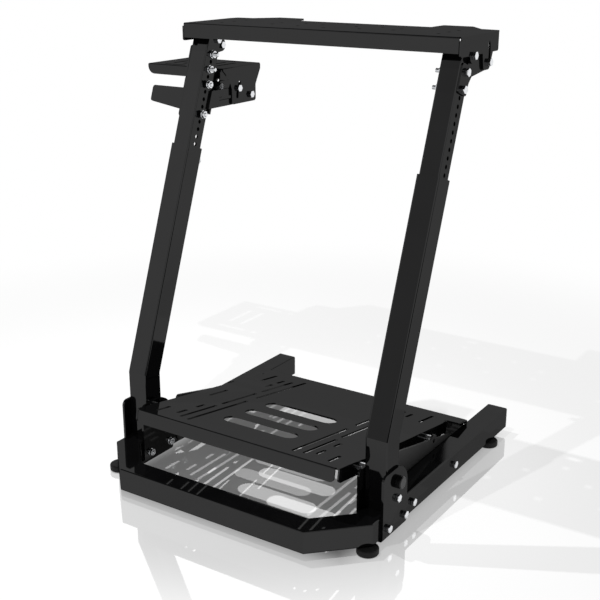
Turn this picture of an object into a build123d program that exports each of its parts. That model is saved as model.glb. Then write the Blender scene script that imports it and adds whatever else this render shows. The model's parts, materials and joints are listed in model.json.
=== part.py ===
from build123d import *
import math
import os

# A height-adjustable stand for a steering wheel, pedals and a gear shifter.
# X runs along the front bar, Y from the front bar to the driver, Z up from the floor. Millimetres.

# Square tube of the base and of the lower uprights
tube = 40.0
wall = 2.0
tube_round = 3.0
frame_half = 263.5
corner_run = 77.8
front_half = frame_half - corner_run
corner_turn = math.radians(45.0)
rail_end = 592.0
rail_middle = frame_half - tube / 2

# Feet
foot_height = 12.0
foot_radius = 18.0
foot_round = 3.0
foot_x = frame_half - 7.5
foot_front_y = 75.7
foot_rear_y = 528.0
base_top = foot_height + tube
base_middle = foot_height + tube / 2

# Rail caps
cap_plate = 3.0
cap_plug = 14.0
cap_fit = 0.2
cap_round = 1.0

# Sheet steel
bracket_sheet = 4.0
panel_sheet = 3.0
fold_round = 2.5

# Uprights: vertical foot, then a lean towards the driver
upright_front = 117.8
bend_height = 173.0
lean = math.radians(20.1)
outer_length = 414.0
inner_tube = 35.0
inner_wall = 2.0
inner_round = 2.5
inner_low = 200.0
inner_length = 414.0
tube_axis = tube / 2
hole_pitch = 13.4
hole_top = 579.5
hole_count = 20
hole_radius = 3.6
inner_inset = (tube - inner_tube) / 2
inner_outside = frame_half - inner_inset
inner_inside = inner_outside - inner_tube
inner_rear = tube - inner_inset

# Sockets that hold the uprights on the rails
socket_front = upright_front - 15.8
socket_length = 78.0
socket_rear = socket_front + socket_length
socket_top = base_top + 69.0
socket_front_round = 10.0
socket_rear_round = 36.0
socket_low_round = 6.0
socket_fold_round = 5.0
socket_bolt_height = foot_height + 14.5
socket_rail_bolts = ((socket_front + 16.0, socket_bolt_height), (socket_rear - 8.0, socket_bolt_height))
socket_upright_bolts = ((upright_front + 28.0, base_top + 16.0), (upright_front + 31.0, base_top + 43.0))
bolt_hole_radius = 4.2

# Round caps over the upper bolts of the sockets
socket_cap_radius = 10.5
socket_cap_height = 9.0
socket_cap_round = 2.0
socket_cap_stem = 4.0

# Pedal plate, sloping down towards the driver
pedal_gap = 13.5
pedal_half = frame_half - tube - bracket_sheet - pedal_gap
pedal_length = 425.0
pedal_slope = math.radians(9.8)
pedal_front_y = 69.2
pedal_front_z = 133.4
pedal_lip = 24.5
pedal_lip_round = 8.0
pedal_relief = 4.0
pedal_lip_gap = 7.0
pedal_flange_front = 3.0
pedal_ear_half = frame_half - 33.5
pedal_ear_start = 378.0
pedal_ear_round = 5.0
pedal_bolts = ((133.0, 110.5), (363.0, 67.0))
spacer_radius = 8.0
slot_width = 6.0
window_half = 73.5
window_width = 24.0
window_rows = (84.0, 147.0, 210.0)
slot_rows = (
    (31.0, ((20.0, 57.0), (170.0, 225.0), (335.0, 392.0))),
    (63.0, ((36.0, 64.0), (90.0, 114.0), (305.0, 329.0), (345.0, 371.0))),
    (80.0, ((24.0, 127.0), (143.0, 250.0), (268.0, 375.0))),
    (99.0, ((20.0, 195.0), (223.0, 394.0))),
)

# Side supports of the pedal plate, on the inner faces of the rails
support_front = 197.0
support_rear = 440.0
support_bottom = foot_height + 4.0
support_front_top = 109.0
support_round = 6.0
support_lobe = 11.0
support_bolts = ((support_front + 11.0, base_middle - 1.0), (363.0, base_middle + 1.0))

# Wheel plate and the brackets that carry it
wheel_gap = 0.5
bracket_outside = inner_outside + panel_sheet
flange_inside = bracket_outside + wheel_gap
flange_outside = flange_inside + panel_sheet
deck_rise = 30.7
deck_front = 305.5
deck_half = flange_outside
deck_side_rear = 445.0
deck_corner = (deck_half - 6.0, 461.0)
deck_step = (deck_half - 39.0, 464.0)
deck_ear = (deck_half - 72.0, 504.0)
deck_recess_half = 141.0
deck_recess = 456.0
deck_lip = 25.0
deck_notch = 4.0
deck_lip_half = deck_half - deck_notch
deck_flange = 30.5
deck_round = 4.0
pin_fit = 0.05
pivot_along = 607.6
pivot_across = 27.0
pivot_radius = 4.0
pivot_lobe = 12.5
clamp_reach = 59.5
clamp_angle = -14.5
clamp_slot_end = 14.0
clamp_radius = 3.0
clamp_fit = 0.4
clamp_lobe = 11.5
head_height = 5.0
head_radius = 6.5
head_gap = 0.3
tab_drop = 26.3
tab_round = 8.0
bracket_low = hole_top - 34.5
bracket_top = hole_top + 11.5
bracket_front = inner_inset + 1.0
bracket_over = 3.0
bracket_heel = hole_top - 14.5
bracket_knee = hole_top - 1.5
bracket_rear = 35.5
bracket_round = 5.0
wheel_holes = (
    (210.0, 345.0),
    (210.0, 381.0),
    (210.0, 417.0),
    (118.0, 367.0),
    (118.0, 396.0),
    (60.0, 358.0),
    (76.0, 408.0),
    (33.0, 395.0),
)
wheel_middle_holes = (344.0, 421.0)
wheel_hole_radius = 3.25
wheel_slot_y = 445.0
wheel_slot_length = 17.0

# Shifter mount on the left upright
shelf_pivot = (437.5, 630.0)
arm_left = -inner_outside - 101.0
arm_right = -inner_inside + bracket_sheet
arm_top = hole_top - 59.5
arm_low_right = hole_top - 102.5
arm_low_left = hole_top - 88.5
arm_wall_front = 34.0
arm_wall_low = shelf_pivot[1] - 13.5
arm_wall_top = shelf_pivot[1] + 17.0
arm_wall_rear = shelf_pivot[0] + 18.5
arm_crest = 9.0
arm_cheek_front = 6.0
arm_cheek_low = hole_top - 115.5
arm_cheek_top = hole_top - 43.5
arm_slot_front = shelf_pivot[0] - 91.5
arm_slot_length = 46.0
arm_bolts = (4, 8)
running_gap = 1.0
shelf_left = arm_left - 28.0
shelf_front = shelf_pivot[0] - 85.5
shelf_rear = shelf_pivot[0] + 36.5
shelf_top = shelf_pivot[1] + 54.0
shelf_lip = 18.5
shelf_lip_round = 11.0
shelf_corner_round = 14.0
shelf_round = 5.0
shelf_notch = 4.0
shelf_reach = 40.5
shelf_rest = 158.2
shelf_slot_turns = (142.0, 180.0)
shelf_pin_radius = 3.0
shelf_neck_rear = 17.0
shelf_neck_front = 19.0
shelf_neck_low = 13.0
shelf_slot_x = (27.0, 49.5)
shelf_slot_length = 60.0
shelf_edge_slot_x = 30.0
shelf_edge_slot_length = 48.0
shelf_edge_inset = 11.0

# Height screws on the rear faces of the lower uprights
screw_along = outer_length - 20.0
screw_radius = 4.0
screw_nut_radius = 8.0
screw_nut_height = 7.0
screw_head_radius = 8.0
screw_head_height = 8.0
screw_stem = 3.0
screw_tip_gap = 0.4
rear_hole_count = 10
rear_holes_above = 3
rear_hole_radius = screw_radius + 0.6


def on_upright(along, across):
    y = upright_front + along * math.sin(lean) + across * math.cos(lean)
    z = bend_height + along * math.cos(lean) - across * math.sin(lean)
    return (y, z)


def at_height(z, across):
    y = upright_front + (z - bend_height) * math.tan(lean) + across / math.cos(lean)
    return (y, z)


def around(centre, reach, degrees):
    turn = math.radians(degrees)
    return (centre[0] + reach * math.cos(turn), centre[1] + reach * math.sin(turn))


def polygon(points, rounds=()):
    face = make_face(Polyline(*points, close=True))
    for index, radius in rounds:
        x, y = points[index]
        near = [v for v in face.vertices() if math.hypot(v.X - x, v.Y - y) < 0.01]
        face = fillet(near, radius)
    return face


def disc(centre, radius):
    return Pos(centre[0], centre[1]) * Circle(radius)


def side_plate(face, x_low, x_high):
    return extrude(Plane.YZ.offset(x_low) * face, amount=x_high - x_low)


def flat_plate(face, z_low, z_high):
    return extrude(Plane.XY.offset(z_low) * face, amount=z_high - z_low)


def cross_pin(centre, radius, x_low, x_high):
    return side_plate(disc(centre, radius), x_low, x_high)


def hex_pin(centre, radius, x_low, x_high):
    return side_plate(Pos(centre[0], centre[1]) * RegularPolygon(radius, 6), x_low, x_high)


def mirrored(part):
    return mirror(part, Plane.YZ)


def arc_slot(centre, reach, start, stop, width):
    points = [around(centre, reach, start + (stop - start) * step / 2) for step in range(3)]
    return SlotArc(ThreePointArc(*points), width)


def long_edges(part, axis, level, shift):
    found = part.edges().filter_by(axis).filter_by(lambda e: e.length > 60)
    return [e for e in found if abs(e.center().Z - level) < 0.01 and abs(shift(e.center())) < 0.01]


# Welded square tube, cut on the mitre planes where two runs meet
def straight_tube(start, along, length, side, corner, sheet):
    hole = side - 2 * sheet
    section = RectangleRounded(side, side, corner) - RectangleRounded(hole, hole, corner - sheet)
    across = (1, 0, 0) if abs(along[0]) < 0.01 else (0, 0, 1)
    plane = Plane(start, x_dir=across, z_dir=along)
    return extrude(plane * section, amount=length)


def floor_way(turn):
    return (math.cos(turn), math.sin(turn), 0)


bend_inset = tube / 2 * math.tan(corner_turn / 2)
front_corner = (front_half - bend_inset, tube / 2, base_middle)
rail_corner = (rail_middle, corner_run + bend_inset, base_middle)
front_mitre = Plane(front_corner, z_dir=floor_way(corner_turn / 2))
rail_mitre = Plane(rail_corner, z_dir=floor_way(1.5 * corner_turn))


def front_bar():
    reach = front_corner[0] + tube
    part = straight_tube((-reach, tube / 2, base_middle), (1, 0, 0), 2 * reach, tube, tube_round, wall)
    part = split(part, bisect_by=front_mitre, keep=Keep.BOTTOM)
    part = mirrored(part)
    return split(part, bisect_by=front_mitre, keep=Keep.BOTTOM)


def corner_tube():
    along = floor_way(corner_turn)
    start = (front_corner[0] - tube * along[0], front_corner[1] - tube * along[1], base_middle)
    length = math.hypot(rail_corner[0] - front_corner[0], rail_corner[1] - front_corner[1]) + 2 * tube
    part = straight_tube(start, along, length, tube, tube_round, wall)
    part = split(part, bisect_by=front_mitre, keep=Keep.TOP)
    return split(part, bisect_by=rail_mitre, keep=Keep.BOTTOM)


def rail():
    start = (rail_middle, rail_corner[1] - tube, base_middle)
    part = straight_tube(start, (0, 1, 0), rail_end - start[1], tube, tube_round, wall)
    part = split(part, bisect_by=rail_mitre, keep=Keep.TOP)
    for centre in socket_rail_bolts + support_bolts:
        part -= cross_pin(centre, bolt_hole_radius, frame_half - tube - 1, frame_half + 1)
    return part


def rail_cap():
    plane = Plane((rail_middle, rail_end, base_middle), x_dir=(1, 0, 0), z_dir=(0, 1, 0))
    plate = extrude(plane * RectangleRounded(tube, tube, tube_round), amount=cap_plate)
    plate = fillet(plate.faces().sort_by(Axis.Y)[-1].edges(), cap_round)
    inside = tube - 2 * wall - 2 * cap_fit
    plug = extrude(plane * RectangleRounded(inside, inside, tube_round - wall), amount=-cap_plug)
    return plate + plug


def foot(x, y):
    pad = Pos(x, y, foot_height / 2) * Cylinder(foot_radius, foot_height)
    rims = pad.edges().filter_by(GeomType.CIRCLE)
    return fillet(rims, foot_round)


# Sockets: a saddle folded up round the rail and the upright
def socket():
    low = foot_height - bracket_sheet
    points = [(socket_front, low), (socket_rear, low), (socket_rear, socket_top), (socket_front, socket_top)]
    rounds = ((1, socket_low_round), (2, socket_rear_round), (3, socket_front_round))
    outer = tube / 2 + bracket_sheet
    section = [(-outer, low), (outer, low), (outer, socket_top), (-outer, socket_top)]
    fold = polygon(section, ((0, socket_fold_round), (1, socket_fold_round)))
    inner = tube / 2
    fold -= polygon([(-inner, foot_height), (inner, foot_height), (inner, socket_top + 1), (-inner, socket_top + 1)])
    saddle = extrude(Plane.XZ.offset(-socket_front) * Pos(rail_middle, 0) * fold, amount=-socket_length)
    part = saddle & side_plate(polygon(points, rounds), rail_middle - outer - 1, rail_middle + outer + 1)
    for centre in socket_rail_bolts + socket_upright_bolts:
        part -= cross_pin(centre, bolt_hole_radius, frame_half - tube - 10, frame_half + 10)
    part -= cross_pin(pedal_bolts[0], bolt_hole_radius, frame_half - tube - 10, frame_half - tube + 1)
    return part


def socket_cap():
    face = frame_half + bracket_sheet
    centre = socket_upright_bolts[1]
    cap = cross_pin(centre, socket_cap_radius, face, face + socket_cap_height)
    rims = cap.edges().filter_by(GeomType.CIRCLE).sort_by(Axis.X)
    cap = fillet(rims[-1:], socket_cap_round)
    return cap + cross_pin(centre, socket_cap_stem, frame_half, face)


def lower_upright():
    bend = (rail_middle, upright_front + tube / 2, bend_height - tube / 2 * math.tan(lean / 2))
    mitre = Plane(bend, z_dir=(0, math.sin(lean / 2), math.cos(lean / 2)))
    stand = straight_tube((bend[0], bend[1], base_top), (0, 0, 1), bend[2] - base_top + tube, tube, tube_round, wall)
    start = on_upright(-tube, tube_axis)
    way = (0, math.sin(lean), math.cos(lean))
    leaning = straight_tube((rail_middle, start[0], start[1]), way, outer_length + tube, tube, tube_round, wall)
    part = split(stand, bisect_by=mitre, keep=Keep.BOTTOM) + split(leaning, bisect_by=mitre, keep=Keep.TOP)
    for centre in socket_upright_bolts:
        part -= cross_pin(centre, bolt_hole_radius, frame_half - tube - 1, frame_half + 1)
    part -= on_rear_face(screw_along, tube - wall - 1) * Cylinder(screw_radius + pin_fit, 4 * wall)
    return part


def on_rear_face(along, across):
    y, z = on_upright(along, across)
    return Plane((rail_middle, y, z), x_dir=(1, 0, 0), z_dir=(0, math.cos(lean), -math.sin(lean)))


def height_screw():
    tip = inner_rear + screw_tip_gap
    shank_length = tube - tip + screw_nut_height + screw_stem
    shank = on_rear_face(screw_along, tip) * extrude(Circle(screw_radius), amount=shank_length)
    nut = on_rear_face(screw_along, tube) * extrude(RegularPolygon(screw_nut_radius, 6), amount=screw_nut_height)
    head_plane = on_rear_face(screw_along, tube + screw_nut_height + screw_stem)
    head = head_plane * extrude(RegularPolygon(screw_head_radius, 6), amount=screw_head_height)
    return shank + nut + head


def inner_upright():
    start = on_upright(inner_low, tube_axis)
    way = (0, math.sin(lean), math.cos(lean))
    part = straight_tube((rail_middle, start[0], start[1]), way, inner_length, inner_tube, inner_round, inner_wall)
    for index in range(hole_count):
        centre = on_upright(hole_top - index * hole_pitch, tube_axis)
        part -= cross_pin(centre, hole_radius, inner_inside - 1, inner_outside + 1)
    part -= cross_pin(pivot_centre, pivot_radius + pin_fit, inner_inside - 1, inner_outside + 1)
    # The height screw meets one hole of this rear row at each step of the slide
    for index in range(rear_hole_count):
        along = screw_along + (rear_holes_above - index) * hole_pitch
        part -= on_rear_face(along, inner_rear - inner_wall / 2) * Cylinder(rear_hole_radius, 3 * inner_wall)
    return part


# Pedal plate, drawn flat and then set on its slope
def pedal_plate():
    half = [
        (pedal_half - pedal_lip_gap, 0.0),
        (pedal_half - pedal_lip_gap, pedal_flange_front),
        (pedal_half, pedal_flange_front),
        (pedal_half, pedal_ear_start - pedal_relief),
        (pedal_half - pedal_relief, pedal_ear_start - pedal_relief),
        (pedal_half - pedal_relief, pedal_ear_start),
        (pedal_ear_half, pedal_ear_start),
        (pedal_ear_half, pedal_length),
    ]
    other = [(-x, y) for x, y in reversed(half)]
    rounds = [(index, pedal_ear_round) for index in (6, 7, 8, 9)]
    face = polygon(half + other, rounds)
    for row in window_rows:
        face -= Pos(0, row) * SlotOverall(2 * window_half, window_width)
    for inset, runs in slot_rows:
        for start, stop in runs:
            hole = SlotOverall(stop - start, slot_width, rotation=90)
            face -= Pos(pedal_half - inset, (start + stop) / 2) * hole
            face -= Pos(inset - pedal_half, (start + stop) / 2) * hole
    part = flat_plate(face, -panel_sheet, 0.0)
    lip_half = pedal_half - pedal_lip_gap
    back_half = pedal_half - pedal_relief
    top = -panel_sheet / 2
    lip = [(-lip_half, top), (lip_half, top), (lip_half, -pedal_lip), (-lip_half, -pedal_lip)]
    lip_face = polygon(lip, ((2, pedal_lip_round), (3, pedal_lip_round)))
    part += extrude(Plane.XZ * lip_face, amount=-panel_sheet)
    back = [(-back_half, top), (back_half, top), (back_half, -pedal_lip), (-back_half, -pedal_lip)]
    back_face = polygon(back, ((2, pedal_lip_round), (3, pedal_lip_round)))
    part += extrude(Plane.XZ.offset(panel_sheet - pedal_length) * back_face, amount=-panel_sheet)
    rear = pedal_ear_start - pedal_relief
    front = pedal_flange_front
    flange = [(front, top), (rear, top), (rear, -pedal_lip), (front, -pedal_lip)]
    flange_face = polygon(flange, ((2, pedal_lip_round), (3, pedal_lip_round)))
    side = side_plate(flange_face, pedal_half - panel_sheet, pedal_half)
    part += side
    part += mirrored(side)
    part = fillet(long_edges(part, Axis.X, 0.0, lambda c: c.Y), fold_round)
    part = fillet(long_edges(part, Axis.X, 0.0, lambda c: c.Y - pedal_length), fold_round)
    part = fillet(long_edges(part, Axis.Y, 0.0, lambda c: abs(c.X) - pedal_half), fold_round)
    part = Pos(0, pedal_front_y, pedal_front_z) * Rot(-math.degrees(pedal_slope), 0, 0) * part
    for centre in pedal_bolts:
        part -= cross_pin(centre, bolt_hole_radius, -pedal_half - 1, pedal_half + 1)
    return part


def pedal_spacers():
    far = pedal_half + pedal_gap
    parts = []
    for centre in pedal_bolts:
        ring = cross_pin(centre, spacer_radius, pedal_half, far)
        parts.append(ring - cross_pin(centre, bolt_hole_radius, pedal_half - 1, far + 1))
    return Compound(children=parts)


def pedal_support():
    points = [
        (support_front, support_bottom),
        (support_rear, support_bottom),
        (support_rear, base_top),
        (support_front, support_front_top),
    ]
    face = polygon(points, [(index, support_round) for index in range(4)])
    face += disc(pedal_bolts[1], support_lobe)
    part = side_plate(face, frame_half - tube - bracket_sheet, frame_half - tube)
    for centre in support_bolts + pedal_bolts[1:]:
        part -= cross_pin(centre, bolt_hole_radius, frame_half - tube - 10, frame_half)
    return part


# Wheel plate and its brackets
pivot_centre = on_upright(pivot_along, pivot_across)
clamp_centre = around(pivot_centre, clamp_reach, clamp_angle)
deck_top = pivot_centre[1] + deck_rise
tab_bottom = pivot_centre[1] - tab_drop


def wheel_bracket():
    py, pz = pivot_centre
    cy, cz = clamp_centre
    points = [
        on_upright(bracket_low, bracket_front),
        on_upright(bracket_top, bracket_front),
        on_upright(bracket_top, pivot_across - pivot_lobe / 2),
        (py, pz + pivot_lobe),
        (cy, cz + clamp_lobe),
        (cy, cz - clamp_lobe),
        on_upright(bracket_knee, bracket_rear + 2 * bracket_over),
        on_upright(bracket_heel, bracket_rear),
        on_upright(bracket_low, bracket_rear),
    ]
    face = polygon(points, [(index, bracket_round) for index in (0, 1, 8)])
    face += disc(pivot_centre, pivot_lobe)
    face += disc(clamp_centre, clamp_lobe)
    part = side_plate(face, inner_outside, bracket_outside)
    for index in (0, 2):
        centre = on_upright(hole_top - index * hole_pitch, tube_axis)
        part -= cross_pin(centre, hole_radius, inner_outside - 1, bracket_outside + 1)
    part -= cross_pin(pivot_centre, pivot_radius + pin_fit, inner_outside - 1, bracket_outside + 1)
    part -= cross_pin(clamp_centre, clamp_radius + pin_fit, inner_outside - 1, bracket_outside + 1)
    return part


def wheel_pivot():
    seat = flange_outside + head_gap
    shank = cross_pin(pivot_centre, pivot_radius, inner_inside - head_height, seat)
    head = hex_pin(pivot_centre, head_radius, seat, seat + head_height)
    nut = hex_pin(pivot_centre, head_radius, inner_inside - head_height, inner_inside)
    return shank + head + nut


def wheel_clamp():
    seat = flange_outside + head_gap
    shank = cross_pin(clamp_centre, clamp_radius, inner_outside - head_height, seat)
    head = hex_pin(clamp_centre, head_radius, seat, seat + head_height)
    nut = hex_pin(clamp_centre, head_radius, inner_outside - head_height, inner_outside)
    return shank + head + nut


def wheel_flange():
    top = deck_top - panel_sheet / 2
    low = deck_top - deck_flange
    front = deck_front + wheel_gap
    notch = deck_front + deck_notch
    shoulder = top - deck_notch
    cy = clamp_centre[0]
    bar = [
        (notch, top),
        (notch, shoulder),
        (front, shoulder),
        (front, low),
        (deck_side_rear, low),
        (deck_side_rear, top),
    ]
    tab = [
        (cy - 2 * pivot_lobe, low + deck_round),
        (cy - 1.5 * pivot_lobe, tab_bottom),
        (cy + head_radius / 2, tab_bottom),
        (cy + 1.4 * clamp_lobe, low + deck_round),
    ]
    face = polygon(bar, ((3, deck_round), (4, deck_round)))
    face += polygon(tab, ((1, tab_round), (2, tab_round)))
    face += disc(pivot_centre, pivot_lobe)
    face -= disc(pivot_centre, pivot_radius + pin_fit)
    slot_width_here = 2 * (clamp_radius + clamp_fit)
    return face - arc_slot(pivot_centre, clamp_reach, clamp_angle, clamp_slot_end, slot_width_here)


def wheel_plate():
    half = [
        (deck_lip_half, deck_front),
        (deck_lip_half, deck_front + deck_notch),
        (deck_half, deck_front + deck_notch),
        (deck_half, deck_side_rear),
        (deck_lip_half, deck_side_rear),
        (deck_lip_half, deck_side_rear + deck_notch),
        deck_corner,
        deck_step,
        deck_ear,
        (deck_recess_half, deck_ear[1]),
        (deck_recess_half, deck_recess),
    ]
    other = [(-x, y) for x, y in reversed(half)]
    rounds = [(index, deck_round) for index in (6, 8, 9, 12, 13, 15)]
    face = polygon(half + other, rounds)
    for x, y in wheel_holes:
        face -= disc((x, y), wheel_hole_radius)
        face -= disc((-x, y), wheel_hole_radius)
    for y in wheel_middle_holes:
        face -= disc((0, y), wheel_hole_radius)
    face -= Pos(0, wheel_slot_y) * SlotOverall(wheel_slot_length, 2 * wheel_hole_radius)
    part = flat_plate(face, deck_top - panel_sheet, deck_top)
    lip_height = deck_lip - panel_sheet / 2
    lip_middle = deck_top - deck_lip + lip_height / 2
    lip = Pos(0, deck_front + panel_sheet / 2, lip_middle) * Box(2 * deck_lip_half, panel_sheet, lip_height)
    part += lip
    side = side_plate(wheel_flange(), flange_inside, flange_outside)
    part += side
    part += mirrored(side)
    part = fillet(long_edges(part, Axis.X, deck_top, lambda c: c.Y - deck_front), fold_round)
    return fillet(long_edges(part, Axis.Y, deck_top, lambda c: abs(c.X) - deck_half), fold_round)


# Shifter mount: an arm with two walls behind the upright, and a shelf that straddles them
shelf_clamp = around(shelf_pivot, shelf_reach, shelf_rest)


def arm_back():
    points = [
        (arm_left, arm_low_left),
        (arm_left, arm_top),
        (arm_right, arm_top),
        (arm_right, arm_low_right),
        (-inner_outside, arm_low_right),
    ]
    y, z = on_upright(0.0, inner_rear)
    lean_plane = Plane((0, y, z), x_dir=(1, 0, 0), z_dir=(0, -math.cos(lean), math.sin(lean)))
    face = polygon(points, ((0, bracket_round), (1, bracket_round)))
    return extrude(lean_plane * face, amount=-bracket_sheet)


def arm_tail():
    cy, cz = shelf_clamp
    crest = cz + arm_crest
    return [
        (arm_wall_rear, arm_wall_low),
        (arm_wall_rear, shelf_pivot[1] + arm_crest),
        (cy + 2 * arm_crest, crest),
        (cy - 1.5 * arm_crest, crest),
        (cy - 2 * arm_crest, arm_wall_top),
    ]


def arm():
    inner_points = [at_height(arm_wall_low, arm_wall_front)] + arm_tail()
    inner_points.append(at_height(arm_wall_top, arm_wall_front))
    outer_points = [on_upright(arm_cheek_low, arm_cheek_front), on_upright(arm_cheek_low, inner_rear)]
    outer_points.append(at_height(arm_wall_low, inner_rear + 2 * arm_crest))
    outer_points += arm_tail()
    outer_points.append(at_height(arm_wall_top, inner_rear + arm_crest / 2))
    outer_points += [on_upright(arm_cheek_top, inner_rear), on_upright(arm_cheek_top, arm_cheek_front)]
    inner = polygon(inner_points, ((1, bracket_round), (2, bracket_round), (3, bracket_round)))
    slot_middle = arm_slot_front + arm_slot_length / 2
    inner -= Pos(slot_middle, shelf_pivot[1] + 1) * SlotOverall(arm_slot_length, slot_width)
    outer = polygon(outer_points, [(index, bracket_round) for index in (0, 3, 4, 5, 10)])
    for centre in (shelf_pivot, shelf_clamp):
        inner -= disc(centre, shelf_pin_radius + pin_fit)
        outer -= disc(centre, shelf_pin_radius + pin_fit)
    part = arm_back()
    part += side_plate(inner, arm_right - bracket_sheet, arm_right)
    part += side_plate(outer, -inner_outside - bracket_sheet, -inner_outside)
    for index in arm_bolts:
        centre = on_upright(hole_top - index * hole_pitch, tube_axis)
        part -= cross_pin(centre, hole_radius, -inner_outside - 2 * bracket_sheet, -inner_outside + 1)
    return part


arm_outside = -inner_outside - bracket_sheet
shelf_flange_right = (arm_right + running_gap, arm_right + running_gap + panel_sheet)
shelf_flange_left = (arm_outside - running_gap - panel_sheet, arm_outside - running_gap)


def shelf_flange():
    py, pz = shelf_pivot
    cy, cz = shelf_clamp
    top = shelf_top - panel_sheet / 2
    low = pz - shelf_neck_low
    neck = cy - shelf_neck_front
    points = [
        (shelf_front + shelf_notch, top),
        (shelf_front + shelf_notch, shelf_top - 1.5 * panel_sheet),
        (neck - shelf_lip / 2, shelf_top - shelf_lip),
        (neck, cz),
        (neck, low),
        (py + shelf_neck_rear, low),
        (py + shelf_neck_rear, shelf_top - 2 * shelf_lip),
        (shelf_rear - shelf_notch, shelf_top - shelf_lip / 2),
        (shelf_rear - shelf_notch, top),
    ]
    rounds = [(2, shelf_lip_round), (4, shelf_round), (5, shelf_round), (6, shelf_lip_round)]
    face = polygon(points, rounds)
    face -= disc(shelf_pivot, shelf_pin_radius + pin_fit)
    width = 2 * (shelf_pin_radius + clamp_fit)
    return face - arc_slot(shelf_pivot, shelf_reach, shelf_slot_turns[0], shelf_slot_turns[1], width)


def shelf():
    x_right = shelf_flange_right[1]
    x_middle = (shelf_left + x_right) / 2
    y_middle = (shelf_front + shelf_rear) / 2
    outline = [
        (shelf_left, shelf_front),
        (x_right - shelf_notch, shelf_front),
        (x_right - shelf_notch, shelf_front + shelf_notch),
        (x_right, shelf_front + shelf_notch),
        (x_right, shelf_rear - shelf_notch),
        (x_right - shelf_notch, shelf_rear - shelf_notch),
        (x_right - shelf_notch, shelf_rear),
        (shelf_left, shelf_rear),
    ]
    face = polygon(outline, ((7, shelf_round),))
    for offset in shelf_slot_x:
        for side in (1, -1):
            face -= Pos(x_middle + side * offset, y_middle) * SlotOverall(shelf_slot_length, slot_width, rotation=90)
    for side in (1, -1):
        for y in (shelf_front + shelf_edge_inset, shelf_rear - shelf_edge_inset):
            face -= Pos(x_middle + side * shelf_edge_slot_x, y) * SlotOverall(shelf_edge_slot_length, slot_width)
    part = flat_plate(face, shelf_top - panel_sheet, shelf_top)
    top = shelf_top - panel_sheet / 2
    low = shelf_top - shelf_lip
    lip_right = x_right - shelf_notch
    lip = [(shelf_left, top), (lip_right, top), (lip_right, low), (shelf_left, low)]
    lip_face = polygon(lip, ((2, shelf_round), (3, shelf_corner_round)))
    part += extrude(Plane.XZ.offset(-shelf_front) * lip_face, amount=-panel_sheet)
    flange = shelf_flange()
    part += side_plate(flange, shelf_flange_right[0], shelf_flange_right[1])
    inset = shelf_edge_inset + slot_width
    room = Pos(y_middle, shelf_pivot[1]) * Rectangle(shelf_rear - shelf_front - 2 * inset, 4 * shelf_reach)
    part += side_plate(flange & room, shelf_flange_left[0], shelf_flange_left[1])
    part = fillet(long_edges(part, Axis.X, shelf_top, lambda c: c.Y - shelf_front), fold_round)
    return fillet(long_edges(part, Axis.Y, shelf_top, lambda c: c.X - x_right), fold_round)


def shelf_bolts(centre):
    right_seat = shelf_flange_right[1] + head_gap
    right_back = arm_right - bracket_sheet
    right = cross_pin(centre, shelf_pin_radius, right_back - head_height, right_seat)
    right += hex_pin(centre, head_radius, right_seat, right_seat + head_height)
    right += hex_pin(centre, head_radius, right_back - head_height, right_back)
    left_seat = shelf_flange_left[0] - head_gap
    left = cross_pin(centre, shelf_pin_radius, left_seat, -inner_outside + head_height)
    left += hex_pin(centre, head_radius, left_seat - head_height, left_seat)
    left += hex_pin(centre, head_radius, -inner_outside, -inner_outside + head_height)
    return Compound(children=[left, right])


nodes = {"front_bar": front_bar(), "pedal_plate": pedal_plate(), "wheel_plate": wheel_plate()}
pairs = {
    "corner_tube": corner_tube(),
    "rail": rail(),
    "rail_cap": rail_cap(),
    "upright_socket": socket(),
    "socket_cap": socket_cap(),
    "lower_upright": lower_upright(),
    "height_screw": height_screw(),
    "pedal_support": pedal_support(),
    "pedal_spacers": pedal_spacers(),
    "front_foot": foot(foot_x, foot_front_y),
    "rear_foot": foot(foot_x, foot_rear_y),
    "inner_upright": inner_upright(),
    "wheel_bracket": wheel_bracket(),
    "wheel_pivot": wheel_pivot(),
    "wheel_clamp": wheel_clamp(),
}
for name, part in pairs.items():
    nodes["right_" + name] = part
    nodes["left_" + name] = mirrored(part)
nodes["shifter_arm"] = arm()
nodes["shifter_shelf"] = shelf()
nodes["shifter_pivots"] = shelf_bolts(shelf_pivot)
nodes["shifter_clamps"] = shelf_bolts(shelf_clamp)

# The origin sits on the floor, under the middle of the whole stand
boxes = [part.bounding_box() for part in nodes.values()]
x_centre = (min(box.min.X for box in boxes) + max(box.max.X for box in boxes)) / 2
y_centre = (min(box.min.Y for box in boxes) + max(box.max.Y for box in boxes)) / 2
place = Pos(-x_centre, -y_centre, 0)
print("centre", round(x_centre, 4), round(y_centre, 4))

os.makedirs("parts", exist_ok=True)
for name, part in nodes.items():
    export_step(place * part, "parts/" + name + ".step")
print(len(nodes), "nodes")
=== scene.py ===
import json
import math

import bpy
from mathutils import Matrix, Vector


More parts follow.
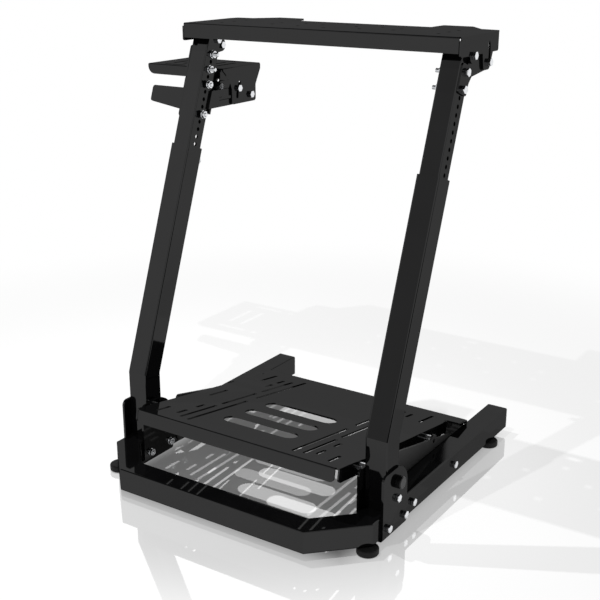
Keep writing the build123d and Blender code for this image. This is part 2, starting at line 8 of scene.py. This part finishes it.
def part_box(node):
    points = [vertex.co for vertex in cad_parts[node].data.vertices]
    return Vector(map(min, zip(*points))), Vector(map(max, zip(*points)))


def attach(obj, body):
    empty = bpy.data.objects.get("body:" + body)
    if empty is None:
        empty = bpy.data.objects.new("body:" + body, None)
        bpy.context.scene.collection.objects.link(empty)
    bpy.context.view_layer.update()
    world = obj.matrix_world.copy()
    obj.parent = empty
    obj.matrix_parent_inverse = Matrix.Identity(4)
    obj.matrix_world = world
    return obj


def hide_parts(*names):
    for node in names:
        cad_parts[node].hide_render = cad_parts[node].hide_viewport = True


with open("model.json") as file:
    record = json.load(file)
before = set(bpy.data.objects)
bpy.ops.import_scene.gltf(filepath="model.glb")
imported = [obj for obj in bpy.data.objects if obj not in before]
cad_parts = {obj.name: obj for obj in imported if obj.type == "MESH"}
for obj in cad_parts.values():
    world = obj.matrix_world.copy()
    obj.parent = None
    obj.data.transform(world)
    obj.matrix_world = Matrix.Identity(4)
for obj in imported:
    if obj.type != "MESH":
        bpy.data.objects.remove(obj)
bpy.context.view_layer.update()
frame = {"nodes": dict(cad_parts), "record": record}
print("loaded", len(frame["nodes"]), "CAD nodes")

barLow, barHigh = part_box("front_bar")  # the front bar's box gives the mid-plane and the front face
origin = Vector(((barLow.x + barHigh.x) / 2, barLow.y, 0.0))
upright = {"lean": 20.1, "bendFront": 117.8, "bendHeight": 173.0}  # degrees back, and where the tube bends
tiny = 0.00001  # metres: points nearer than this are one
upward = 0.9  # a face whose normal rises more than this looks straight up


def place(x, y, z):  # millimetres from the front bar's middle to metres in the frame
    return origin + Vector((x, y, z)) / 1000


def onUpright(along, across):  # along the leaning tube from its bend, across from its front face
    lean = math.radians(upright["lean"])
    y = upright["bendFront"] + along * math.sin(lean) + across * math.cos(lean)
    z = upright["bendHeight"] + along * math.cos(lean) - across * math.sin(lean)
    return y, z


def linear(code):  # sRGB hex to linear
    parts = [int(code[i:i + 2], 16) / 255 for i in (1, 3, 5)]
    return [p / 12.92 if p <= 0.04045 else ((p + 0.055) / 1.055) ** 2.4 for p in parts] + [1.0]


def addNode(tree, kind, settings=None):  # one node: sockets given as values are linked, the rest is set
    node = tree.nodes.new(kind)
    for name, value in (settings or {}).items():
        if isinstance(value, bpy.types.NodeSocket):
            tree.links.new(value, node.inputs[name])
        elif isinstance(name, int) or name in node.inputs:
            node.inputs[name].default_value = value
        else:
            setattr(node, name, value)
    return node


def newMaterial(name):
    material = bpy.data.materials.new(name)
    material.use_nodes = True
    material.node_tree.nodes.clear()
    return material, material.node_tree


# what the finishes share: a cloudy pattern, sized in millimetres, that shifts their tone and roughness
def startFinish(name, look):
    material, tree = newMaterial(name)
    where = addNode(tree, "ShaderNodeTexCoord").outputs["Object"]
    cloud = addNode(tree, "ShaderNodeTexNoise", {
        "Vector": where, "Scale": 1000 / look["cloud"], "Detail": look["detail"]}).outputs["Fac"]
    dark, pale = (linear(code) for code in look["tones"])
    tone = addNode(tree, "ShaderNodeMix", {"data_type": "RGBA", 0: cloud, 6: dark, 7: pale}).outputs[2]
    sleek, dull = look["rough"]
    rough = addNode(tree, "ShaderNodeMapRange", {"Value": cloud, "To Min": sleek, "To Max": dull}).outputs[0]
    return material, tree, {"where": where, "cloud": cloud, "tone": tone, "rough": rough}


powderCoat = {"cloud": 41.667, "detail": 3.0, "tones": ("#050505", "#0b0b0c"), "rough": (0.02, 0.06),
              "peel": 2.381, "peelDetail": 2.0, "peelBump": 0.02, "peelDepth": 0.0002,  # orange peel
              "underRough": 0.5, "mirror": 0.034}


def glossBlackPaint(look):  # mirror-smooth black powder coat: pale rooms show in it as one even dark grey
    material, tree, part = startFinish("glossBlackPowderCoat", look)
    peel = addNode(tree, "ShaderNodeTexNoise", {
        "Vector": part["where"], "Scale": 1000 / look["peel"], "Detail": look["peelDetail"]})
    bump = addNode(tree, "ShaderNodeBump", {
        "Height": peel.outputs["Fac"], "Strength": look["peelBump"], "Distance": look["peelDepth"]})
    coat = addNode(tree, "ShaderNodeBsdfPrincipled", {
        "Base Color": part["tone"], "Roughness": look["underRough"], "Specular IOR Level": 0.0})
    mirror = addNode(tree, "ShaderNodeBsdfGlossy", {
        "Color": linear("#ffffff"), "Roughness": part["rough"], "Normal": bump.outputs["Normal"]})
    mixed = addNode(tree, "ShaderNodeMixShader", {
        0: look["mirror"], 1: coat.outputs[0], 2: mirror.outputs[0]})
    addNode(tree, "ShaderNodeOutputMaterial", {"Surface": mixed.outputs[0]})
    return material


rubbedPaint = {"cloud": 16.667, "detail": 4.0, "tones": ("#393939", "#414141"), "rough": (0.4, 0.55),
               # painted shade on faces that look up: the near-black tone and the heights of the normal where
               # it starts and is full
               "upShadeTone": "#101010", "upShadeFrom": 0.5, "upShadeTo": 0.9, "shine": 0.1}


# black paint rubbed down to a satin: it scatters the room's light, so it is dark grey beside the gloss; faces
# that look up get painted shade
def satinBlackPaint(look):
    material, tree, part = startFinish("satinBlackPaint", look)
    facing = addNode(tree, "ShaderNodeTexCoord").outputs["Normal"]
    up = addNode(tree, "ShaderNodeSeparateXYZ", {0: facing}).outputs["Z"]
    edge = addNode(tree, "ShaderNodeMapRange", {
        "Value": up, "From Min": look["upShadeFrom"], "From Max": look["upShadeTo"]}).outputs[0]
    tone = addNode(tree, "ShaderNodeMix", {  # painted shade: faces that look up, the cut top edges, are darkened to near black so they show no highlight
        "data_type": "RGBA", 0: edge, 6: part["tone"], 7: linear(look["upShadeTone"])}).outputs[2]
    coat = addNode(tree, "ShaderNodeBsdfPrincipled", {
        "Base Color": tone, "Roughness": part["rough"], "Specular IOR Level": look["shine"]})
    addNode(tree, "ShaderNodeOutputMaterial", {"Surface": coat.outputs[0]})
    return material


zincPlate = {"cloud": 3.846, "detail": 3.0, "tones": ("#d6d8dc", "#f0f1f2"), "rough": (0.14, 0.3)}


def brightZinc(look):  # pale plated steel: near white where it meets light, dark where it meets the paint
    material, tree, part = startFinish("brightZincPlate", look)
    metal = addNode(tree, "ShaderNodeBsdfPrincipled", {
        "Base Color": part["tone"], "Roughness": part["rough"], "Metallic": 1.0})
    addNode(tree, "ShaderNodeOutputMaterial", {"Surface": metal.outputs[0]})
    return material


moulding = {"detail": 4.0, "bump": 0.15, "depth": 0.0003, "shine": 0.3}
footRubber = {**moulding, "cloud": 3.333, "tones": ("#0c0c0c", "#161616"), "rough": (0.55, 0.8)}  # dull, soft
capPlastic = {**moulding, "cloud": 2.381, "tones": ("#0b0b0b", "#141415"), "rough": (0.3, 0.45)}  # satin


def darkMoulding(name, look):  # moulded black with a fine grain, which breaks up its highlights
    material, tree, part = startFinish(name, look)
    bump = addNode(tree, "ShaderNodeBump", {
        "Height": part["cloud"], "Strength": look["bump"], "Distance": look["depth"]})
    shade = addNode(tree, "ShaderNodeBsdfPrincipled", {
        "Base Color": part["tone"], "Roughness": part["rough"], "Normal": bump.outputs["Normal"],
        "Specular IOR Level": look["shine"]})
    addNode(tree, "ShaderNodeOutputMaterial", {"Surface": shade.outputs[0]})
    return material


finishes = {
    "black_paint": glossBlackPaint(powderCoat),
    "zinc": brightZinc(zincPlate),
    "rubber": darkMoulding("mouldedRubber", footRubber),
    "cap_plastic": darkMoulding("mouldedPlastic", capPlastic),
}
satin = satinBlackPaint(rubbedPaint)
slots = {row["node"]: row["material_slot"] for row in frame["record"]["subparts"]}
for name, node in frame["nodes"].items():
    node.data.materials.clear()
    node.data.materials.append(satin if name.endswith("support") else finishes[slots[name]])
print("finishes on", len(slots), "CAD nodes")


def fresh():  # nothing selected, object mode
    if bpy.context.object and bpy.context.object.mode != "OBJECT":
        bpy.ops.object.mode_set(mode="OBJECT")
    bpy.ops.object.select_all(action="DESELECT")


def choose(piece):  # only this piece selected and active
    fresh()
    piece.select_set(True)
    bpy.context.view_layer.objects.active = piece


def pick(piece, kind, test):  # selects faces or vertices by place, then goes to edit mode
    bpy.ops.object.mode_set(mode="EDIT")
    bpy.ops.mesh.select_mode(type=kind)
    bpy.ops.mesh.select_all(action="DESELECT")
    bpy.ops.object.mode_set(mode="OBJECT")
    if kind == "FACE":
        for face in piece.data.polygons:
            face.select = test(face.center, face.normal)
    else:
        for vertex in piece.data.vertices:
            vertex.select = test(vertex.co)
    bpy.ops.object.mode_set(mode="EDIT")


def soften(piece, width):  # small rounded edges, width in mm
    bevel = piece.modifiers.new("edges", "BEVEL")
    bevel.width = width / 1000
    bevel.segments = 2
    bevel.limit_method = "ANGLE"
    bpy.ops.object.modifier_apply(modifier=bevel.name)


def cylinder(sides, wide, base, high, y=0.0):  # a round or hexagon bar standing on its base, in mm
    fresh()
    bpy.ops.mesh.primitive_cylinder_add(vertices=sides, radius=wide / 2000, depth=high / 1000,
                                        location=(0, y / 1000, (base + high / 2) / 1000))
    bpy.ops.object.transform_apply(location=True)
    return bpy.context.object


def joinAll(pieces, name):
    choose(pieces[0])
    for piece in pieces:
        piece.select_set(True)
    if len(pieces) > 1:
        bpy.ops.object.join()
    whole = bpy.context.object
    whole.name = name
    whole.data.name = name
    return whole


def dress(piece, slot, angle):  # one finish, with faces smooth up to an angle
    piece.data.materials.clear()
    piece.data.materials.append(finishes[slot])
    bpy.ops.object.shade_smooth_by_angle(angle=math.radians(angle))


bolt = {"across": 11.8, "head": 5.6, "corner": 1.1, "edge": 0.35, "smooth": 32.0,
        "washer": 13.8, "washerHeight": 1.2, "washerEdge": 0.3, "nut": 4.8,
        "shank": 7.0, "shankHigh": 1.0, "sunk": 0.5, "stub": 2.6, "longStub": 7.6,
        "pitch": 1.25, "flank": 0.4, "flat": 0.225, "root": 0.86, "tip": 0.7, "tipTaper": 0.8,
        "spinFirst": 8.0, "spinStep": 23.0}  # each bolt is turned a little further than the last


def modelHex(size, base, high, both):  # hexagon with its corners turned down on top, or on both faces
    piece = cylinder(6, size["across"] / math.cos(math.pi / 6), base, high)
    low, top = base / 1000, (base + high) / 1000
    pick(piece, "VERT", lambda co: abs(co.z - top) < tiny or (both and abs(co.z - low) < tiny))
    bpy.ops.mesh.bevel(offset=size["corner"] / 1000, affect="VERTICES", segments=1)
    bpy.ops.object.mode_set(mode="OBJECT")
    soften(piece, size["edge"])
    return piece


def modelNut(size, stubHigh):  # nut on its washer, with the bolt's threaded end standing out of it
    nut = modelHex(size, size["washerHeight"], size["nut"], True)
    washer = cylinder(48, size["washer"], 0.0, size["washerHeight"])
    soften(washer, size["washerEdge"])
    start = size["washerHeight"] + size["nut"] - size["sunk"] - size["shankHigh"]
    stub = cylinder(32, size["shank"], start, size["shankHigh"])
    pick(stub, "FACE", lambda centre, normal: normal.z > upward)
    flank, flat, root = size["flank"], size["flat"], size["root"]
    ridge = [(flank, root), (flat, 1.0), (flank, 1 / root), (flat, 1.0)]
    turns = int(stubHigh / size["pitch"])
    for rise, wide in ridge * turns + [(size["tip"], size["tipTaper"])]:  # thread ridges, then the point
        bpy.ops.mesh.extrude_region_move(TRANSFORM_OT_translate={"value": (0, 0, rise / 1000)})
        bpy.ops.transform.resize(value=(wide, wide, 1.0))
    bpy.ops.object.mode_set(mode="OBJECT")
    return joinAll([nut, washer, stub], "nutAndStub")


def putCopies(source, spots, name, body):  # copies of one model, each set at a place and along a direction
    copies = []
    for count, (where, way) in enumerate(spots):
        copy = source.copy()
        copy.data = source.data.copy()
        bpy.context.collection.objects.link(copy)
        turn = Vector(way).to_track_quat("Z", "Y").to_matrix().to_4x4()
        spin = Matrix.Rotation(math.radians(bolt["spinStep"] * count + bolt["spinFirst"]), 4, "Z")
        copy.data.transform(Matrix.Translation(place(*where)) @ turn @ spin)
        copies.append(copy)
    whole = joinAll(copies, name)
    dress(whole, "zinc", bolt["smooth"])
    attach(whole, body)


fixings = {  # places from the side as (y, z), and the planes that heads and nuts sit on
    "socket": {"spots": ((118.0, 26.5), (172.0, 26.5), (145.8, 68.0)), "outer": 267.5, "inner": 219.5},
    "support": {"spots": ((208.0, 31.0), (363.0, 33.0)), "outer": 263.5, "inner": 219.5},
    "pedal": {"spots": ((133.0, 110.5), (363.0, 67.0)), "inner": 203.0},
    "bracket": {"spots": (onUpright(579.5, 20.0), onUpright(552.7, 20.0)), "outer": 264.0, "inner": 226.0},
    "arm": {"spots": (onUpright(525.9, 20.0), onUpright(472.3, 20.0)), "outer": 265.0, "inner": 222.0},
}


def fixAt(side, name, plane):  # one kind's places on one side, each with the way that it faces
    row = fixings[name]
    way = side if plane == "outer" else -side
    return [((side * row[plane], y, z), (way, 0, 0)) for y, z in row["spots"]]


heads, ends, upperHeads, longEnds = [], [], [], []
for side in (-1, 1):
    heads += fixAt(side, "socket", "outer") + fixAt(side, "support", "outer") + fixAt(side, "pedal", "inner")
    ends += fixAt(side, "socket", "inner") + fixAt(side, "support", "inner")
    upperHeads += fixAt(side, "bracket", "outer")
    longEnds += fixAt(side, "bracket", "inner")
boltHead = modelHex(bolt, 0.0, bolt["head"], False)
nutEnd = modelNut(bolt, bolt["stub"])
longEnd = modelNut(bolt, bolt["longStub"])  # the bracket bolts stand further out of their nuts
putCopies(boltHead, heads, "frame_bolt_heads", "base_frame")
putCopies(nutEnd, ends, "frame_nuts", "base_frame")
putCopies(boltHead, upperHeads + fixAt(-1, "arm", "outer"), "upper_bolt_heads", "upper_frame")
putCopies(nutEnd, fixAt(-1, "arm", "inner"), "arm_nuts", "upper_frame")  # the arm is on the left only
putCopies(longEnd, longEnds, "bracket_nuts", "upper_frame")
for model in (boltHead, nutEnd, longEnd):
    bpy.data.objects.remove(model, do_unlink=True)
print("bolts and nuts")

pedal = {"slope": 9.8, "front": 69.2, "top": 133.4, "length": 425.0, "half": 206.0, "sheet": 3.0,
         "smooth": 28.0, "windowRows": (84.0, 147.0, 210.0), "windowHalf": 73.5, "windowWidth": 36.0,
         "foldFrom": 373.0, "foldTo": 389.0, "foldWide": 5.0, "foldDeep": 24.5, "foldEdge": 0.8,
         "earHalf": 230.0, "earGap": 0.2, "lipInner": 184.0, "lipOuter": 223.3, "lipTop": 1.0,
         "overRail": 9.2, "tab": 38.0, "lipEdge": 0.3, "cutPast": 5.0, "cutDeep": 6.0, "windowCut": 20.0}
onSlope = (Matrix.Translation(place(0.0, pedal["front"], pedal["top"]))
           @ Matrix.Rotation(-math.radians(pedal["slope"]), 4, "X"))


def block(corner, opposite):  # a cube set to two opposite corners in millimetres
    fresh()
    bpy.ops.mesh.primitive_cube_add(size=1.0)
    bpy.ops.object.mode_set(mode="EDIT")
    bpy.ops.mesh.select_all(action="SELECT")
    bpy.ops.transform.resize(value=[abs(b - a) / 1000 for a, b in zip(corner, opposite)])
    bpy.ops.transform.translate(value=(Vector(corner) + Vector(opposite)) / 2000)
    bpy.ops.object.mode_set(mode="OBJECT")
    return bpy.context.object


# an edge is cut round the piece at one x, and the underside that passes the test is drawn down
def dropPart(piece, x, test, depth):
    bpy.ops.object.mode_set(mode="EDIT")
    bpy.ops.mesh.select_all(action="SELECT")
    bpy.ops.mesh.bisect(plane_co=(x / 1000, 0, 0), plane_no=(1, 0, 0))
    bpy.ops.object.mode_set(mode="OBJECT")
    pick(piece, "FACE", lambda centre, normal: normal.z < -upward and test(centre.x * 1000))
    bpy.ops.mesh.extrude_region_move(TRANSFORM_OT_translate={"value": (0, 0, -depth / 1000)})
    bpy.ops.object.mode_set(mode="OBJECT")


def cutAway(piece, cutter):
    cutter.data.transform(onSlope)
    choose(piece)
    cut = piece.modifiers.new("cut", "BOOLEAN")
    cut.operation = "DIFFERENCE"
    cut.solver = "EXACT"
    cut.object = cutter
    bpy.ops.object.modifier_apply(modifier=cut.name)
    bpy.data.objects.remove(cutter, do_unlink=True)


def modelPedalPlate(size):
    plate = frame["nodes"]["pedal_plate"].copy()
    plate.data = plate.data.copy()
    bpy.context.collection.objects.link(plate)
    choose(plate)
    bpy.ops.object.mode_set(mode="EDIT")
    bpy.ops.mesh.select_all(action="SELECT")
    bpy.ops.mesh.remove_doubles(threshold=tiny)
    bpy.ops.object.mode_set(mode="OBJECT")
    reach = size["windowHalf"] - size["windowWidth"] / 2
    for row in size["windowRows"]:  # long windows with round ends
        cutter = cylinder(64, size["windowWidth"], -size["windowCut"] / 2, size["windowCut"], row)
        for side in (-1, 1):
            pick(cutter, "VERT", lambda co: co.x * side > tiny)
            bpy.ops.transform.translate(value=(side * reach / 1000, 0, 0))
            bpy.ops.object.mode_set(mode="OBJECT")
        cutAway(plate, cutter)
    parts = [plate]
    for side in (-1, 1):
        edge, wall = side * size["half"], side * (size["half"] - size["sheet"])
        cutAway(plate, block((edge, size["foldFrom"], -size["cutDeep"]),  # the strip before the ear
                             (side * (size["earHalf"] + size["cutPast"]), size["foldTo"], size["cutDeep"])))
        fold = block((edge - side * size["foldWide"], size["foldFrom"], -size["sheet"]),
                     (edge, size["foldTo"], 0.0))  # the side fold runs on to the ear
        dropPart(fold, wall, lambda x: x * side > wall * side, size["foldDeep"] - size["sheet"])
        soften(fold, size["foldEdge"])
        lip = block((side * size["lipInner"], size["length"] - size["sheet"], -size["overRail"]),
                    (side * (size["earHalf"] - size["earGap"]), size["length"], -size["lipTop"]))
        notch = side * size["lipOuter"]  # the rear lip is notched where it passes over the rail
        dropPart(lip, notch, lambda x: x * side < notch * side, size["tab"] - size["overRail"])
        soften(lip, size["lipEdge"])
        for piece in (fold, lip):
            piece.data.transform(onSlope)
            parts.append(piece)
    return joinAll(parts, "pedal_plate_folded")


pedalPlate = modelPedalPlate(pedal)
dress(pedalPlate, "black_paint", pedal["smooth"])
flats = pedalPlate.modifiers.new("flats", "WEIGHTED_NORMAL")  # keeps the mirror flat round the slots
flats.weight = 100
flats.keep_sharp = True
bpy.ops.object.modifier_apply(modifier=flats.name)
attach(pedalPlate, "base_frame")
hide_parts("pedal_plate")
print("pedal plate")

smoothly = {"interpolation_type": "SMOOTHSTEP"}
ground = {"size": 90.0, "tone": "#f8f8f8", "mirror": 0.34, "rough": 0.03,
          "shadeSideEdge": (0.21, 0.27), "shadeEndEdge": (0.24, 0.3),  # metres from the middle to the frame's tubes, where the painted shade under the frame fades out
          "paintedShadeGlow": 0.15, "glowRound": 0.66, "glowFade": (0.7, 1.5), "mirrorFade": (0.36, 0.62)}


# white and lightly polished: it keeps pale crisp shadows and a faint mirror image close to the feet, and
# glows white far out; under the frame it glows less, which paints shade there
def studioFloor(look):
    material, tree = newMaterial("paleStudioFloor")
    where = addNode(tree, "ShaderNodeTexCoord").outputs["Object"]
    away = addNode(tree, "ShaderNodeVectorMath", {"operation": "LENGTH", 0: where}).outputs["Value"]
    x, y, z = addNode(tree, "ShaderNodeSeparateXYZ", {0: where}).outputs
    past = []
    for measure, middle, (start, end) in ((x, origin.x, look["shadeSideEdge"]), (y, 0.0, look["shadeEndEdge"])):
        offset = addNode(tree, "ShaderNodeMath", {"operation": "SUBTRACT", 0: measure, 1: middle}).outputs[0]
        offset = addNode(tree, "ShaderNodeMath", {"operation": "ABSOLUTE", 0: offset}).outputs[0]
        past.append(addNode(tree, "ShaderNodeMapRange", {
            **smoothly, "Value": offset, "From Min": start, "From Max": end}).outputs[0])
    clear = addNode(tree, "ShaderNodeMath", {"operation": "MAXIMUM", 0: past[0], 1: past[1]}).outputs[0]
    # painted shade: inside the frame's footprint the floor glows much less, so it is darker under the stand
    glow = addNode(tree, "ShaderNodeMapRange", {
        "Value": clear, "To Min": look["paintedShadeGlow"], "To Max": look["glowRound"]}).outputs[0]
    start, end = look["glowFade"]  # all white far out
    glow = addNode(tree, "ShaderNodeMapRange", {
        **smoothly, "Value": away, "From Min": start, "From Max": end, "To Min": glow}).outputs[0]
    start, end = look["mirrorFade"]
    polish = addNode(tree, "ShaderNodeMapRange", {
        **smoothly, "Value": away, "From Min": start, "From Max": end,
        "To Min": look["mirror"], "To Max": 0.0}).outputs[0]
    matt = addNode(tree, "ShaderNodeBsdfDiffuse", {"Color": linear(look["tone"])})
    white = addNode(tree, "ShaderNodeEmission", {"Color": linear("#ffffff"), "Strength": 1.0})
    pale = addNode(tree, "ShaderNodeMixShader", {0: glow, 1: matt.outputs[0], 2: white.outputs[0]})
    shine = addNode(tree, "ShaderNodeBsdfGlossy", {"Color": linear("#ffffff"), "Roughness": look["rough"]})
    whole = addNode(tree, "ShaderNodeMixShader", {0: polish, 1: pale.outputs[0], 2: shine.outputs[0]})
    addNode(tree, "ShaderNodeOutputMaterial", {"Surface": whole.outputs[0]})
    return material


fresh()
bpy.ops.mesh.primitive_plane_add(size=ground["size"], location=(0, 0, 0))
floor = bpy.context.object
floor.name = "floor"
floor.data.materials.append(studioFloor(ground))

paleRoom = {
    "light": 0.28,  # what the room gives to matt surfaces
    "ceiling": (0.55, 0.66, 0.04),  # from this height to that, and how bright it is there
    "slants": {"bank": -0.64, "wall": 0.463},  # x plus so much of y: directions across the front and the back
    "bands": {  # each runs from none at its first value to all at its second
        "ahead": ("y", 0.05, -0.05), "behind": ("y", -0.05, 0.05),
        "bankFrom": ("bank", -0.06, 0.06), "bankTo": ("bank", 0.5, 0.3), "aboveFloor": ("z", 0.0, 0.06),
        "doorFrom": ("bank", 0.3, 0.6), "doorTop": ("z", 0.24, 0.2),
        "sill": ("z", 0.405, 0.422), "lintel": ("z", 0.5, 0.48),
        "paneNear": ("wall", 0.002, -0.004), "paneFar": ("wall", -0.08, -0.06)},
    "patches": {  # how much light each takes away, and the bands that bound it
        "dimFront": (0.5, ("bankFrom", "aboveFloor", "bankTo", "ahead")),
        "darkDoor": (0.98, ("doorFrom", "ahead", "doorTop")),
        "darkPane": (1.0, ("sill", "lintel", "paneNear", "paneFar", "behind"))},
}


def roomSeen(room, look):  # what the gloss shows: pale walls with dark patches under a dark ceiling
    way = addNode(room, "ShaderNodeTexCoord").outputs["Generated"]
    x, y, z = addNode(room, "ShaderNodeSeparateXYZ", {0: way}).outputs
    measures = {"y": y, "z": z}
    for name, share in look["slants"].items():
        measures[name] = addNode(room, "ShaderNodeMath", {
            "operation": "MULTIPLY_ADD", 0: y, 1: share, 2: x}).outputs[0]
    masks = {}
    for name, (measure, start, end) in look["bands"].items():
        masks[name] = addNode(room, "ShaderNodeMapRange", {
            **smoothly, "Value": measures[measure], "From Min": start, "From Max": end}).outputs[0]
    low, high, dark = look["ceiling"]
    level = addNode(room, "ShaderNodeMapRange", {
        **smoothly, "Value": z, "From Min": low, "From Max": high, "To Min": 1.0, "To Max": dark}).outputs[0]
    left = 1.0
    for share, bounds in look["patches"].values():
        patch = share
        for name in bounds:
            patch = addNode(room, "ShaderNodeMath", {
                "operation": "MULTIPLY", 0: masks[name], 1: patch}).outputs[0]
        left = addNode(room, "ShaderNodeMath", {
            "operation": "SUBTRACT", 0: left, 1: patch, "use_clamp": True}).outputs[0]
    return addNode(room, "ShaderNodeMath", {"operation": "MULTIPLY", 0: level, 1: left}).outputs[0]


world = bpy.data.worlds.new("paleRoom")
bpy.context.scene.world = world
world.use_nodes = True
room = world.node_tree
room.nodes.clear()
ray = addNode(room, "ShaderNodeLightPath").outputs
seen = addNode(room, "ShaderNodeMath", {
    "operation": "MAXIMUM", 0: ray["Is Glossy Ray"], 1: ray["Is Transmission Ray"]}).outputs[0]
level = addNode(room, "ShaderNodeMix", {
    "data_type": "FLOAT", 0: seen, 2: paleRoom["light"], 3: roomSeen(room, paleRoom)}).outputs[0]
level = addNode(room, "ShaderNodeMix", {
    "data_type": "FLOAT", 0: ray["Is Camera Ray"], 2: level, 3: 1.0}).outputs[0]
sky = addNode(room, "ShaderNodeBackground", {"Color": linear("#ffffff"), "Strength": level})
addNode(room, "ShaderNodeOutputWorld", {"Surface": sky.outputs[0]})

lamps = {"keyLight": {"spot": (-2.0, -328.0, 1804.0), "size": 0.014, "power": 13.5},
         "topLight": {"spot": (-560.0, 290.0, 1800.0), "size": 0.014, "power": 21.5}}
lampAim = place(0.0, 300.0, 0.0)
for name, lamp in lamps.items():  # small lamps, for the crisp shadows
    fresh()
    bpy.ops.object.light_add(type="AREA", location=place(*lamp["spot"]))
    light = bpy.context.object
    light.name = name
    light.data.energy = lamp["power"]
    light.data.size = lamp["size"]
    light.rotation_euler = (lampAim - light.location).to_track_quat("-Z", "Y").to_euler()
    light.visible_glossy = False

view = {"spot": (973.86, -1206.24, 905.94), "azimuth": 33.34, "elevation": 18.54,
        "lens": 64.855, "sensor": 36.0, "farthest": 200.0}
bpy.ops.object.camera_add(location=place(*view["spot"]),
                          rotation=(math.radians(90 - view["elevation"]), 0, math.radians(view["azimuth"])))
camera = bpy.context.object
camera.data.sensor_width = view["sensor"]
camera.data.lens = view["lens"]
camera.data.clip_end = view["farthest"]
bpy.context.scene.camera = camera
bpy.context.scene.view_settings.view_transform = "Standard"
print("floor, light and camera")

print("done")
